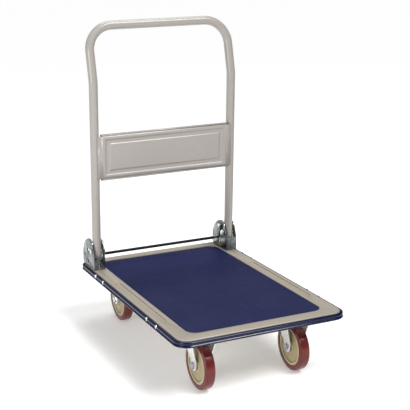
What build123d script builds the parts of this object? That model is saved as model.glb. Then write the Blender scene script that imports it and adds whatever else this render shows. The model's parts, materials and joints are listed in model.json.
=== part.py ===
from build123d import *
import os
from math import atan2, cos, degrees, radians, sin

os.makedirs("parts", exist_ok=True)

# Folding platform cart: a pressed steel platform on two rigid and two swivel casters, with a tubular
# handle that folds forward onto the platform. Millimetres, +Z up, front towards -Y, handle at +Y.
# The origin is the centre of the platform at floor level.

# ---- platform
length = 740.0  # over the bumper
width = 480.0  # over the bumper
deck_top = 177.0  # top of the steel border above the floor
sheet = 1.5  # platform steel
skirt_depth = 15.0  # height of the turned-down edge
edge_radius = 3.0  # bend between border and skirt
bumper_wall = 9.0
bumper_corner = 40.0
bumper_drop = 2.5  # bumper top below the steel top
bumper_lip = 8.0  # how far the bumper reaches in under the skirt
bumper_lip_height = 2.5
border_side = 40.0  # steel edge to mat, long sides
border_end = 36.0  # steel edge to mat, front and back
mat_corner = 30.0
mat_thick = 2.5
mat_sunk = 1.5  # mat top below the steel top
mat_gap = 0.5
rib_width = 16.0
rib_depth = 3.0
rib_front = -216.0
rib_back = 118.0

# ---- casters
wheel_dia = 130.0
tread = 27.0
tyre_wall = 14.0
tyre_shoulder = 4.0
caster_inset = 104.0  # bumper's outer face to caster centre line
front_axle_y = -265.0
trail = 32.0
swivel_y = 258.0
plate_length = 92.0
plate_width = 105.0
plate_thick = 3.0
channel_width = 112.0
fork_sheet = 3.0
leg_gap = 34.0  # between the legs at the axle
fork_tip = 14.0  # radius of the rounded leg end
axle_dia = 10.0
axle_flats = 16.0
axle_head = 6.0
axle_nut_height = 8.0
sleeve_dia = 12.0
bearing_dia = 30.0
bearing_width = 9.0
hub_boss = 36.0
ball_dia = 6.0
ball_ring = 29.0  # radius of the ball circle
ball_count = 20
king_dia = 12.0

# ---- handle
tube_dia = 25.4
tube_wall = 1.5
upright_inset = 26.0  # bumper's outer face to upright centre line
pivot_y = 273.5
pivot_z = 230.0
lean = 3.0  # degrees, uprights lean over the platform
upright_length = 497.0  # pivot to the bend
grip_length = 154.5  # bend to the centre of the top bar
grip_tilt = 15.2  # degrees, upper part tilts back from the uprights
bend_radius = 60.0
corner_radius = 70.0
fold = 87.0  # degrees of folding
panel_low = 213.0  # along the upright from the pivot
panel_high = 349.0
panel_sheet = 1.2
panel_inset = 3.0  # upright centre line to panel end
roll_dia = 8.0
roll_inset = 13.0  # the rolled edges stop this far inside the panel's ends
frame_margin = (24.0, 15.0)  # panel edge to the pressed frame groove, across and up
frame_band = (19.0, 15.0)  # width of the groove, across and up
frame_depth = 3.0

# ---- hinge brackets and lock
ear_sheet = 3.0
weld_mark = 0.8  # height of the weld marks on the front wall
ear_clear = 1.3  # tube to ear, each side
bracket_front = 252.0
bracket_back = 349.5
wall_height = 39.0
ear_radius = 66.5
bracket_bolts_y = (16.0, 56.0)  # behind the bracket's front face
bolt_dia = 10.0  # handle pivot bolt
bush_dia = 14.0
plate_web = 5.0  # lock plate
pin_dia = 8.0
pin_y = 297.5
pin_z = 223.0
bail_y = 290.0  # lock bar pivot
bail_z = 250.0
bail_swing = 14.0  # degrees
foot_y = 303.0
foot_z = 209.0
arm_sheet = 3.0
arm_gap = 3.0  # inner ear to arm
rivet_dia = 8.0
foot_rod_dia = 6.0
foot_sleeve_dia = 8.5
foot_sleeve_inset = 13.0  # inner face of the lock arm to the sleeve's end

run = 0.05  # radial clearance of a turning fit
free = 0.3  # clearance between loose neighbours

# ---- screws and bolts
screw_dia = 4.0  # bumper screws
screw_ys = (-224.0, -162.0, 162.0, 224.0)
m8 = 8.0
m8_hole = 8.4
m8_flats = 13.0
plate_inset = 11.0  # caster bolt to the plate's edge

# ---- worked out
steel_x = width / 2 - bumper_wall
steel_y = length / 2 - bumper_wall
steel_corner = bumper_corner - bumper_wall
mat_x = steel_x - border_side
mat_y = steel_y - border_end
mat_top = deck_top - mat_sunk
floor_top = mat_top - mat_thick
floor_under = floor_top - sheet
skirt_low = deck_top - skirt_depth
wheel_r = wheel_dia / 2
hub_r = wheel_r - tyre_wall
plate_top = skirt_low
plate_under = plate_top - plate_thick
base_top = deck_top + ear_sheet
bumper_top = deck_top - bumper_drop
bumper_low = skirt_low - bumper_lip_height
screw_z = (bumper_top + skirt_low) / 2 + 1.5
bolt_ys = [bracket_front + y for y in bracket_bolts_y]
race_height = 4.0
crown_top = plate_under - 2 * race_height - 2.5
ball_z = crown_top + race_height + 1.25
rear_axle_y = swivel_y + trail
axle_x = width / 2 - caster_inset
upright_x = width / 2 - upright_inset
ear_gap = tube_dia + 2 * ear_clear
sides = (("left", -1), ("right", 1))


def finish(piece, label):
    """Name a finished piece and write it."""
    piece.part.label = label
    export_step(piece.part, f"parts/{label}.step")


def hexagon(across_flats):
    """Radius of the circle round a hexagon of this width across its flats."""
    return across_flats / 2 / cos(radians(30))


# ================================================================ platform
with BuildPart() as deck_tray:
    with BuildSketch(Plane.XY.offset(skirt_low)):
        RectangleRounded(2 * steel_x, 2 * steel_y, steel_corner)
    extrude(amount=skirt_depth)
    fillet(deck_tray.edges().group_by(Axis.Z)[-1], edge_radius)
    with BuildSketch(Plane.XY.offset(skirt_low)):
        RectangleRounded(2 * (steel_x - sheet), 2 * (steel_y - sheet), steel_corner - sheet)
    extrude(amount=skirt_depth - sheet, mode=Mode.SUBTRACT)
    # the pressed seat for the mat, then the two stiffening grooves
    with BuildSketch(Plane.XY.offset(floor_under)):
        seat_out = mat_gap + sheet
        RectangleRounded(2 * (mat_x + seat_out), 2 * (mat_y + seat_out), mat_corner + seat_out)
    extrude(amount=deck_top - sheet - floor_under)
    with BuildSketch(Plane.XY.offset(floor_top)):
        RectangleRounded(2 * (mat_x + mat_gap), 2 * (mat_y + mat_gap), mat_corner + mat_gap)
    extrude(amount=deck_top - floor_top, mode=Mode.SUBTRACT)
    rib_x = (steel_x + mat_x + mat_gap) / 2
    rib_y = (rib_front + rib_back) / 2
    rib_length = rib_back - rib_front
    with BuildSketch(Plane.XY.offset(deck_top - rib_depth - sheet)):
        with Locations((-rib_x, rib_y), (rib_x, rib_y)):
            SlotOverall(rib_length + 2 * sheet, rib_width + 2 * sheet, rotation=90)
    extrude(amount=rib_depth)
    with BuildSketch(Plane.XY.offset(deck_top - rib_depth)):
        with Locations((-rib_x, rib_y), (rib_x, rib_y)):
            SlotOverall(rib_length, rib_width, rotation=90)
    extrude(amount=rib_depth, mode=Mode.SUBTRACT)
    # holes for the bracket bolts and the bumper screws
    with BuildSketch(Plane.XY.offset(deck_top)):
        with Locations(*[(s * upright_x, y) for _, s in sides for y in bolt_ys]):
            Circle(m8_hole / 2)
    extrude(amount=-2 * sheet - rib_depth, mode=Mode.SUBTRACT)
    for side, s in sides:
        for y in screw_ys:
            with BuildSketch(Plane(origin=(s * steel_x, y, screw_z), z_dir=(-s, 0, 0))):
                Circle(screw_dia / 2)
            extrude(amount=sheet, mode=Mode.SUBTRACT)
finish(deck_tray, "deck_tray")

with BuildPart() as deck_mat:
    with BuildSketch(Plane.XY.offset(floor_top)):
        RectangleRounded(2 * mat_x, 2 * mat_y, mat_corner)
    extrude(amount=mat_thick)
finish(deck_mat, "deck_mat")

with BuildPart() as bumper:
    with BuildSketch(Plane.XY.offset(bumper_low)):
        RectangleRounded(width, length, bumper_corner)
    extrude(amount=bumper_top - bumper_low)
    rims = bumper.edges().group_by(Axis.Z)
    fillet(rims[0] + rims[-1], bumper_wall * 0.4)
    with BuildSketch(Plane.XY.offset(skirt_low)):
        RectangleRounded(2 * steel_x, 2 * steel_y, steel_corner)
    extrude(amount=skirt_depth, mode=Mode.SUBTRACT)
    with BuildSketch(Plane.XY.offset(bumper_low)):
        lip_x = steel_x - bumper_lip
        lip_y = steel_y - bumper_lip
        RectangleRounded(2 * lip_x, 2 * lip_y, steel_corner - bumper_lip)
    extrude(amount=bumper_lip_height, mode=Mode.SUBTRACT)
    for side, s in sides:
        for y in screw_ys:
            with BuildSketch(Plane(origin=(s * steel_x, y, screw_z), z_dir=(s, 0, 0))):
                Circle(screw_dia / 2)
            extrude(amount=bumper_wall, mode=Mode.SUBTRACT)
finish(bumper, "bumper")

with BuildPart() as bumper_screws:
    for side, s in sides:
        for y in screw_ys:
            with BuildSketch(Plane(origin=(s * (steel_x - 4), y, screw_z), z_dir=(s, 0, 0))):
                Circle(screw_dia / 2)
            extrude(amount=bumper_wall + 3.5)
finish(bumper_screws, "bumper_screws")

def caster_bolt_grid(radius, mode=Mode.ADD):
    """Four circles on a caster plate's bolt pattern, in the open sketch."""
    with GridLocations(plate_width - 2 * plate_inset, plate_length - 2 * plate_inset, 2, 2):
        Circle(radius, mode=mode)


def nuts_and_heads(flats, hole=0.0):
    """A hexagon on each caster bolt, with a hole through it for a nut, in the open sketch."""
    with GridLocations(plate_width - 2 * plate_inset, plate_length - 2 * plate_inset, 2, 2):
        RegularPolygon(hexagon(flats), 6)
        if hole:
            Circle(hole / 2, mode=Mode.SUBTRACT)


# channels under the platform that carry the casters, and two long stiffeners between them
channel_height = floor_under - plate_top
channel_half = steel_x - 30
for place, y in (("front", front_axle_y), ("rear", swivel_y)):
    with BuildPart() as channel:
        with BuildSketch(Plane.YZ.offset(-channel_half)):
            with Locations((y, plate_top + channel_height / 2)):
                Rectangle(channel_width, channel_height)
            with Locations((y, plate_top + sheet + channel_height / 2)):
                Rectangle(channel_width - 2 * sheet, channel_height, mode=Mode.SUBTRACT)
        extrude(amount=2 * channel_half)
        with BuildSketch(Plane.XY.offset(plate_top)):
            with Locations((-axle_x, y), (axle_x, y)):
                caster_bolt_grid(m8_hole / 2)
        extrude(amount=sheet, mode=Mode.SUBTRACT)
    finish(channel, f"caster_channel_{place}")

stiff_front = front_axle_y + channel_width / 2
stiff_back = swivel_y - channel_width / 2
stiff_x = 90.0
stiff_width = 50.0
stiff_height = 22.0
for side, s in sides:
    with BuildPart() as stiffener:
        with BuildSketch(Plane.XZ.offset(-stiff_back)):
            with Locations((s * stiff_x, floor_under - stiff_height / 2)):
                Rectangle(stiff_width, stiff_height)
            with Locations((s * stiff_x, floor_under - stiff_height / 2 + sheet)):
                Rectangle(stiff_width - 2 * sheet, stiff_height, mode=Mode.SUBTRACT)
        extrude(amount=stiff_back - stiff_front)
    finish(stiffener, f"stiffener_{side}")


# ================================================================ wheels and casters
def wheel(label, x, y):
    """Hub, tyre and the pair of ball bearings of one wheel, on the axle line at x, y."""
    axis = Axis((x, y, wheel_r), (1, 0, 0))
    face = Plane(origin=(x, y, wheel_r), x_dir=(1, 0, 0), z_dir=(0, -1, 0))
    half = tread / 2
    with BuildPart() as hub:
        with BuildSketch(face):
            with BuildLine():
                rim = half - 1
                disc = half - 2
                boss = leg_gap / 2 - 2.5
                step = hub_r - 7
                Polyline(
                    (-boss, bearing_dia / 2 - 4), (-boss, hub_boss / 2), (-disc, hub_boss / 2 + 2),
                    (-disc, step - 2), (-disc + 2, step - 2), (-disc + 2, step), (-rim, step),
                    (-rim, hub_r), (rim, hub_r), (rim, step), (disc - 2, step),
                    (disc - 2, step - 2), (disc, step - 2), (disc, hub_boss / 2 + 2),
                    (boss, hub_boss / 2), (boss, bearing_dia / 2 - 4), close=True,
                )
            make_face()
        revolve(axis=axis)
        for end in (-1, 1):
            with BuildSketch(Plane(origin=(x + end * boss, y, wheel_r), z_dir=(-end, 0, 0))):
                Circle(bearing_dia / 2)
            extrude(amount=bearing_width, mode=Mode.SUBTRACT)
    finish(hub, f"hub_{label}")
    with BuildPart() as tyre:
        with BuildSketch(face):
            with BuildLine():
                top = wheel_r - tyre_shoulder
                flat = half - tyre_shoulder
                Polyline((-flat, wheel_r), (flat, wheel_r))
                RadiusArc((flat, wheel_r), (half, top), tyre_shoulder)
                Polyline((half, top), (half, hub_r), (-half, hub_r), (-half, top))
                RadiusArc((-half, top), (-flat, wheel_r), tyre_shoulder)
            make_face()
        revolve(axis=axis)
    finish(tyre, f"tyre_{label}")
    with BuildPart() as bearings:
        for end in (-1, 1):
            with BuildSketch(Plane(origin=(x + end * boss, y, wheel_r), z_dir=(-end, 0, 0))):
                Circle(bearing_dia / 2)
                Circle(sleeve_dia / 2 + run, mode=Mode.SUBTRACT)
            extrude(amount=bearing_width)
            with BuildSketch(Plane(origin=(x + end * boss, y, wheel_r), z_dir=(-end, 0, 0))):
                Circle(bearing_dia / 2 - 3)
                Circle(sleeve_dia / 2 + 3, mode=Mode.SUBTRACT)
            extrude(amount=0.8, mode=Mode.SUBTRACT)
    finish(bearings, f"bearings_{label}")


def fork(label, x, y, axle_y, crown_top, crown_half, crown_reach, race):
    """A pressed fork: a bent strip seen from the front, trimmed to the leg outline seen from the side."""
    leg = leg_gap / 2 + fork_sheet
    knee = wheel_r + 10
    tip = wheel_r - fork_tip - 1
    shoulder = crown_top - 9
    with BuildPart() as piece:
        with BuildSketch(Plane.XZ.offset(-axle_y - 80)):
            for inset, mode in ((0, Mode.ADD), (fork_sheet, Mode.SUBTRACT)):
                with BuildLine():
                    Polyline(
                        (x - leg + inset, tip), (x - leg + inset, knee),
                        (x - crown_half + inset, shoulder), (x - crown_half + inset, crown_top - inset),
                        (x + crown_half - inset, crown_top - inset), (x + crown_half - inset, shoulder),
                        (x + leg - inset, knee), (x + leg - inset, tip), close=True,
                    )
                make_face(mode=mode)
        extrude(amount=2 * 80)
        with BuildSketch(Plane.YZ.offset(x - crown_half)):
            with BuildLine():
                CenterArc((axle_y, wheel_r), fork_tip, 0, 360)
                Polyline((y - crown_reach, shoulder), (y - crown_reach, crown_top),
                         (y + crown_reach, crown_top), (y + crown_reach, shoulder), close=True)
            make_hull()
        extrude(amount=2 * crown_half, mode=Mode.INTERSECT)
        with BuildSketch(Plane.YZ.offset(x - leg - 1)):
            with Locations((axle_y, wheel_r)):
                Circle(axle_dia / 2)
        extrude(amount=2 * leg + 2, mode=Mode.SUBTRACT)
        if race:
            with BuildSketch(Plane.XY.offset(crown_top)):
                with Locations((x, y)):
                    Circle(ball_ring + 6)
                    Circle(ball_ring - 6, mode=Mode.SUBTRACT)
            extrude(amount=race_height)
            with Locations((x, y, ball_z)):
                Torus(ball_ring, ball_dia / 2 + free, mode=Mode.SUBTRACT)
            with BuildSketch(Plane.XY.offset(crown_top)):
                with Locations((x, y)):
                    Circle(king_dia / 2 + run)
            extrude(amount=-fork_sheet, mode=Mode.SUBTRACT)
        else:
            with BuildSketch(Plane.XY.offset(plate_under)):
                with Locations((x, y)):
                    RectangleRounded(plate_width, plate_length, 8)
                    caster_bolt_grid(m8_hole / 2, Mode.SUBTRACT)
            extrude(amount=plate_thick)
    finish(piece, label)


def axle_bolt(x, y):
    """Axle bolt with its head outside the leg on the -X side."""
    leg = leg_gap / 2 + fork_sheet
    with BuildPart() as bolt:
        with BuildSketch(Plane.YZ.offset(x - leg)):
            with Locations((y, wheel_r)):
                Circle(axle_dia / 2)
        extrude(amount=2 * leg + axle_nut_height + 1)
        with BuildSketch(Plane.YZ.offset(x - leg)):
            with Locations((y, wheel_r)):
                RegularPolygon(hexagon(axle_flats), 6)
        extrude(amount=-axle_head)
    return bolt.part


def axle_nut(x, y):
    """Lock nut on the axle bolt's far end."""
    with BuildPart() as nut:
        with BuildSketch(Plane.YZ.offset(x + leg_gap / 2 + fork_sheet)):
            with Locations((y, wheel_r)):
                RegularPolygon(hexagon(axle_flats), 6)
                Circle(axle_dia / 2, mode=Mode.SUBTRACT)
        extrude(amount=axle_nut_height)
    return nut.part


def axle_sleeve(x, y):
    """Steel sleeve between the fork legs, which the bearings turn on."""
    with BuildPart() as sleeve:
        with BuildSketch(Plane.YZ.offset(x - leg_gap / 2)):
            with Locations((y, wheel_r)):
                Circle(sleeve_dia / 2)
                Circle(axle_dia / 2, mode=Mode.SUBTRACT)
        extrude(amount=leg_gap)
    return sleeve.part


for side, s in sides:
    wheel(f"front_{side}", s * axle_x, front_axle_y)
    wheel(f"rear_{side}", s * axle_x, rear_axle_y)
    fork(f"rigid_fork_{side}", s * axle_x, front_axle_y, front_axle_y, plate_under, 40.0, 28.0, False)
    fork(f"swivel_fork_{side}", s * axle_x, swivel_y, rear_axle_y, crown_top, 38.0, 36.0, True)

with BuildPart() as rigid_axles:
    for side, s in sides:
        add(axle_bolt(s * axle_x, front_axle_y))
finish(rigid_axles, "rigid_axles")

with BuildPart() as rigid_axle_nuts:
    for side, s in sides:
        add(axle_nut(s * axle_x, front_axle_y))
finish(rigid_axle_nuts, "rigid_axle_nuts")

with BuildPart() as rigid_axle_sleeves:
    for side, s in sides:
        add(axle_sleeve(s * axle_x, front_axle_y))
finish(rigid_axle_sleeves, "rigid_axle_sleeves")

for side, s in sides:
    with BuildPart() as swivel_axle:
        add(axle_bolt(s * axle_x, rear_axle_y))
    finish(swivel_axle, f"swivel_axle_{side}")
    with BuildPart() as swivel_axle_nut:
        add(axle_nut(s * axle_x, rear_axle_y))
    finish(swivel_axle_nut, f"swivel_axle_nut_{side}")
    with BuildPart() as swivel_axle_sleeve:
        add(axle_sleeve(s * axle_x, rear_axle_y))
    finish(swivel_axle_sleeve, f"swivel_axle_sleeve_{side}")

    with BuildPart() as swivel_plate:
        with BuildSketch(Plane.XY.offset(plate_under)):
            with Locations((s * axle_x, swivel_y)):
                RectangleRounded(plate_width, plate_length, 8)
                Circle(king_dia / 2 + 4, mode=Mode.SUBTRACT)
                caster_bolt_grid(m8_hole / 2, Mode.SUBTRACT)
        extrude(amount=plate_thick)
        with BuildSketch(Plane.XY.offset(plate_under)):
            with Locations((s * axle_x, swivel_y)):
                Circle(ball_ring + 7)
                Circle(ball_ring - 6, mode=Mode.SUBTRACT)
        extrude(amount=-race_height)
        with Locations((s * axle_x, swivel_y, ball_z)):
            Torus(ball_ring, ball_dia / 2 + free, mode=Mode.SUBTRACT)
    finish(swivel_plate, f"swivel_plate_{side}")

    with BuildPart() as race_balls:
        with Locations((s * axle_x, swivel_y, ball_z)):
            with PolarLocations(ball_ring, ball_count):
                Sphere(ball_dia / 2)
    finish(race_balls, f"race_balls_{side}")

with BuildPart() as king_bolts:
    for side, s in sides:
        with BuildSketch(Plane.XY.offset(plate_top)):
            with Locations((s * axle_x, swivel_y)):
                Circle(king_dia / 2 + 4)
        extrude(amount=-plate_thick)
        with BuildSketch(Plane.XY.offset(plate_under)):
            with Locations((s * axle_x, swivel_y)):
                Circle(king_dia / 2)
        extrude(amount=crown_top - fork_sheet - 7.5 - plate_under)
        with BuildSketch(Plane.XY.offset(crown_top - fork_sheet - free)):
            with Locations((s * axle_x, swivel_y)):
                RegularPolygon(hexagon(18), 6)
        extrude(amount=-7)
finish(king_bolts, "king_bolts")

with BuildPart() as caster_bolts:
    for y in (front_axle_y, swivel_y):
        with BuildSketch(Plane.XY.offset(plate_top + sheet)):
            with Locations((-axle_x, y), (axle_x, y)):
                nuts_and_heads(m8_flats)
        extrude(amount=5)
        with BuildSketch(Plane.XY.offset(plate_top + sheet)):
            with Locations((-axle_x, y), (axle_x, y)):
                caster_bolt_grid(m8 / 2)
        extrude(amount=-sheet - plate_thick - m8)
finish(caster_bolts, "caster_bolts")

with BuildPart() as caster_nuts:
    for y in (front_axle_y, swivel_y):
        with BuildSketch(Plane.XY.offset(plate_under)):
            with Locations((-axle_x, y), (axle_x, y)):
                nuts_and_heads(m8_flats, m8)
        extrude(amount=-6.5)
finish(caster_nuts, "caster_nuts")

# ================================================================ hinge brackets
ear_low = deck_top
arc_z = deck_top + 22.0
arc_y = bracket_back - ear_radius
window_front = pin_y - pin_dia / 2 - 1.5
window_back = window_front + 18.0
inner_face = upright_x - ear_gap / 2 - ear_sheet
for side, s in sides:
    outer_ear = s * upright_x - ear_gap / 2 - ear_sheet
    with BuildPart() as bracket:
        for ear_x in (outer_ear, outer_ear + ear_sheet + ear_gap):
            with BuildSketch(Plane.YZ.offset(ear_x)):
                with BuildLine():
                    crown = (arc_y, arc_z + ear_radius)
                    brow = (bracket_front + 9.5, deck_top + 70)
                    Polyline((bracket_back - 8, ear_low), (bracket_front, ear_low),
                             (bracket_front, deck_top + wall_height + 6), brow)
                    ThreePointArc(brow, (bracket_front + 18.5, deck_top + 83.5), crown)
                    CenterArc((arc_y, arc_z), ear_radius, 90, -90)
                    Polyline((bracket_back, arc_z), (bracket_back, ear_low + 8),
                             (bracket_back - 8, ear_low))
                make_face()
                with Locations(((window_front + window_back) / 2, pin_z + 2.0)):
                    RectangleRounded(window_back - window_front, 15.0, 4, mode=Mode.SUBTRACT)
                with Locations((bracket_front + 51, deck_top + 16)):
                    SlotOverall(12, 8, rotation=90, mode=Mode.SUBTRACT)
                with Locations((bracket_back - 20.5, deck_top + 31.5)):
                    Circle(3, mode=Mode.SUBTRACT)
                with Locations((pivot_y, pivot_z)):
                    Circle(bolt_dia / 2, mode=Mode.SUBTRACT)
            extrude(amount=ear_sheet)
        with BuildSketch(Plane.XY.offset(deck_top)):
            with Locations((s * upright_x, (bracket_front + bracket_back - 18) / 2)):
                Rectangle(ear_gap, bracket_back - 18 - bracket_front)
            with Locations(*[(s * upright_x, y) for y in bolt_ys]):
                Circle(m8_hole / 2, mode=Mode.SUBTRACT)
        extrude(amount=ear_sheet)
        with BuildSketch(Plane.XY.offset(deck_top)):
            with Locations((s * upright_x, bracket_front + ear_sheet / 2)):
                Rectangle(ear_gap, ear_sheet)
        extrude(amount=wall_height)
        # raised weld marks on the front wall
        with BuildSketch(Plane.XZ.offset(-bracket_front)):
            with Locations((s * upright_x, deck_top + 10), (s * upright_x, deck_top + 28)):
                Circle(3.5)
        extrude(amount=weld_mark)
        with BuildSketch(Plane.YZ.offset(s * inner_face - (ear_sheet if s < 0 else 0))):
            with Locations((bail_y, bail_z)):
                Circle(rivet_dia / 2)
        extrude(amount=ear_sheet, mode=Mode.SUBTRACT)
    finish(bracket, f"hinge_bracket_{side}")

bolt_spots = [(s * upright_x, y) for _, s in sides for y in bolt_ys]
with BuildPart() as bracket_bolts:
    with BuildSketch(Plane.XY.offset(base_top)):
        with Locations(*bolt_spots):
            RegularPolygon(hexagon(m8_flats), 6)
    extrude(amount=5)
    with BuildSketch(Plane.XY.offset(base_top)):
        with Locations(*bolt_spots):
            Circle(m8 / 2)
    extrude(amount=-ear_sheet - sheet - m8)
finish(bracket_bolts, "bracket_bolts")

with BuildPart() as bracket_nuts:
    with BuildSketch(Plane.XY.offset(deck_top - sheet)):
        with Locations(*bolt_spots):
            RegularPolygon(hexagon(m8_flats), 6)
            Circle(m8 / 2, mode=Mode.SUBTRACT)
    extrude(amount=-6.5)
finish(bracket_nuts, "bracket_nuts")

with BuildPart() as pivot_bolts:
    for side, s in sides:
        outer = s * (upright_x + ear_gap / 2 + ear_sheet)
        with BuildSketch(Plane(origin=(outer, pivot_y, pivot_z), z_dir=(-s, 0, 0))):
            Circle(bolt_dia / 2)
        extrude(amount=ear_gap + 2 * ear_sheet + 7)
        with BuildSketch(Plane(origin=(outer, pivot_y, pivot_z), z_dir=(s, 0, 0))):
            Circle(8.0)
        extrude(amount=3.5)
finish(pivot_bolts, "pivot_bolts")

with BuildPart() as pivot_nuts:
    for side, s in sides:
        inner = s * (upright_x - ear_gap / 2 - ear_sheet)
        with BuildSketch(Plane(origin=(inner, pivot_y, pivot_z), z_dir=(-s, 0, 0))):
            RegularPolygon(hexagon(16), 6)
            Circle(bolt_dia / 2, mode=Mode.SUBTRACT)
        extrude(amount=6)
finish(pivot_nuts, "pivot_nuts")

# ================================================================ handle
# The handle is drawn in a plane through the pivots that leans with the uprights: x across the cart,
# y up the uprights, and z towards the front of the cart.
front_dir = (0, -cos(radians(lean)), -sin(radians(lean)))
handle_plane = Plane(origin=(0, pivot_y, pivot_z), x_dir=(1, 0, 0), z_dir=front_dir)


def on_handle(x, up, forward=0.0):
    """A point given across, up and forward of the pivot line, in the cart's frame."""
    return handle_plane.from_local_coords(Vector(x, up, forward))


grip_up = upright_length + grip_length * cos(radians(grip_tilt))
grip_back = -grip_length * sin(radians(grip_tilt))
end_low = -26.0
end_cut = -15.5  # the tube ends are cut on a slant through this point of their centre line
end_slope = 0.4
end_front = end_cut - end_slope * tube_dia / 2
with BuildPart() as handle_tube:
    with BuildLine() as tube_path:
        FilletPolyline(
            on_handle(-upright_x, end_low), on_handle(-upright_x, upright_length),
            on_handle(-upright_x, grip_up, grip_back), on_handle(upright_x, grip_up, grip_back),
            on_handle(upright_x, upright_length), on_handle(upright_x, end_low),
            radius=(bend_radius, corner_radius, corner_radius, bend_radius),
        )
    with BuildSketch(Plane(origin=on_handle(-upright_x, end_low), x_dir=(1, 0, 0),
                           z_dir=handle_plane.y_dir)):
        Circle(tube_dia / 2)
        Circle(tube_dia / 2 - tube_wall, mode=Mode.SUBTRACT)
    sweep(path=tube_path.wire())
    # the ends are cut on a slant so that they pass the lock pins as the handle folds
    slant = Plane(origin=on_handle(0, end_cut), x_dir=(1, 0, 0),
                  z_dir=on_handle(0, 1.0, end_slope) - on_handle(0, 0))
    split(bisect_by=slant, keep=Keep.TOP)
    for side, s in sides:
        with BuildSketch(Plane(origin=(s * upright_x - tube_dia, pivot_y, pivot_z), z_dir=(1, 0, 0))):
            Circle(bush_dia / 2)
        extrude(amount=2 * tube_dia, mode=Mode.SUBTRACT)
        # slot in the back wall for the lock plate
        with BuildSketch(handle_plane):
            with Locations((s * upright_x, 0)):
                Rectangle(plate_web, 66)
        extrude(amount=-tube_dia, mode=Mode.SUBTRACT)
finish(handle_tube, "handle_tube")

panel_half = upright_x - panel_inset
roll_half = panel_half - roll_inset
panel_mid = (panel_low + panel_high) / 2
panel_height = panel_high - panel_low - roll_dia
panel_back = tube_dia / 2
roll_centre = panel_back + panel_sheet - roll_dia / 2
with BuildPart() as back_panel:
    with BuildSketch(handle_plane.offset(panel_back)):
        with Locations((0, panel_mid)):
            Rectangle(2 * panel_half, panel_height)
    extrude(amount=panel_sheet)
    # rolled upper and lower edges, open at their ends
    with BuildSketch(Plane(origin=on_handle(-roll_half, 0), x_dir=handle_plane.y_dir, z_dir=(1, 0, 0))):
        with Locations((panel_low + roll_dia / 2, roll_centre),
                       (panel_high - roll_dia / 2, roll_centre)):
            Circle(roll_dia / 2)
            Circle(roll_dia / 2 - panel_sheet, mode=Mode.SUBTRACT)
    extrude(amount=2 * roll_half)
    # pressed frame round the middle
    out_x = panel_half - frame_margin[0]
    out_up = (panel_high - panel_low) / 2 - frame_margin[1]
    in_x = out_x - frame_band[0]
    in_up = out_up - frame_band[1]
    with BuildSketch(handle_plane.offset(panel_back)):
        with Locations((0, panel_mid)):
            RectangleRounded(2 * (out_x + panel_sheet), 2 * (out_up + panel_sheet), 6)
            RectangleRounded(2 * (in_x - panel_sheet), 2 * (in_up - panel_sheet), 3,
                             mode=Mode.SUBTRACT)
    extrude(amount=-frame_depth)
    with BuildSketch(handle_plane.offset(panel_back + panel_sheet)):
        with Locations((0, panel_mid)):
            RectangleRounded(2 * out_x, 2 * out_up, 5)
            RectangleRounded(2 * in_x, 2 * in_up, 4, mode=Mode.SUBTRACT)
    extrude(amount=-frame_depth, mode=Mode.SUBTRACT)
finish(back_panel, "back_panel")

# Lock plate on each tube end. The lock pin runs in its curved slot while the handle folds, and moves
# outward into a notch at each end of the fold.
pin_in = Vector(pin_y - pivot_y, pin_z - pivot_z)
bail_arm = Vector(pin_y - bail_y, pin_z - bail_z)
pin_out = Vector(bail_y - pivot_y, bail_z - pivot_z) + bail_arm.rotate(Axis.Z, bail_swing)
pin_angle = degrees(atan2(pin_in.Y, pin_in.X))
pin_slot = pin_dia + 2 * free
web_round = pin_slot + 2 * 4.2


def slot_between(start, end, wide, mode=Mode.ADD):
    """A round-ended slot between two points measured from the handle pivot, in the open sketch."""
    middle = (start + end) * 0.5
    along = end - start
    with Locations((pivot_y + middle.X, pivot_z + middle.Y)):
        SlotCenterToCenter(along.length, wide, rotation=degrees(atan2(along.Y, along.X)), mode=mode)


def pin_track(wide, mode=Mode.ADD):
    """The curved slot and its two notches, at this width, in the open sketch."""
    with BuildLine(mode=Mode.PRIVATE) as curve:
        CenterArc((0, 0), pin_in.length, pin_angle, -fold)
    with Locations((pivot_y, pivot_z)):
        SlotArc(curve.edge(), wide, mode=mode)
    slot_between(pin_in, pin_out, wide, mode)
    slot_between(pin_in.rotate(Axis.Z, -fold), pin_out.rotate(Axis.Z, -fold), wide, mode)


plate_front = tube_dia / 2 - tube_wall - 2.2
for side, s in sides:
    with BuildPart() as lock_plate:
        with BuildSketch(Plane.YZ.offset(s * upright_x - plate_web / 2)):
            with Locations((pivot_y, pivot_z)):
                Circle(18)
            with Locations((pivot_y + 2, pivot_z + 15)):
                Rectangle(22, 30)
            pin_track(web_round)
            # cut back to stay inside the tube's front wall
            with Locations((pivot_y - plate_front, pivot_z + end_front - 1.0)):
                Rectangle(40, 62, align=(Align.MAX, Align.MIN), mode=Mode.SUBTRACT)
            pin_track(pin_slot, Mode.SUBTRACT)
            with Locations((pivot_y, pivot_z)):
                Circle(bush_dia / 2, mode=Mode.SUBTRACT)
        extrude(amount=plate_web)
    finish(lock_plate, f"lock_plate_{side}")

    with BuildPart() as pivot_bush:
        bush_half = ear_gap / 2 - 0.5
        with BuildSketch(Plane.YZ.offset(s * upright_x - bush_half)):
            with Locations((pivot_y, pivot_z)):
                Circle(bush_dia / 2)
                Circle(bolt_dia / 2 + run, mode=Mode.SUBTRACT)
        extrude(amount=2 * bush_half)
    finish(pivot_bush, f"pivot_bush_{side}")

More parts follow.
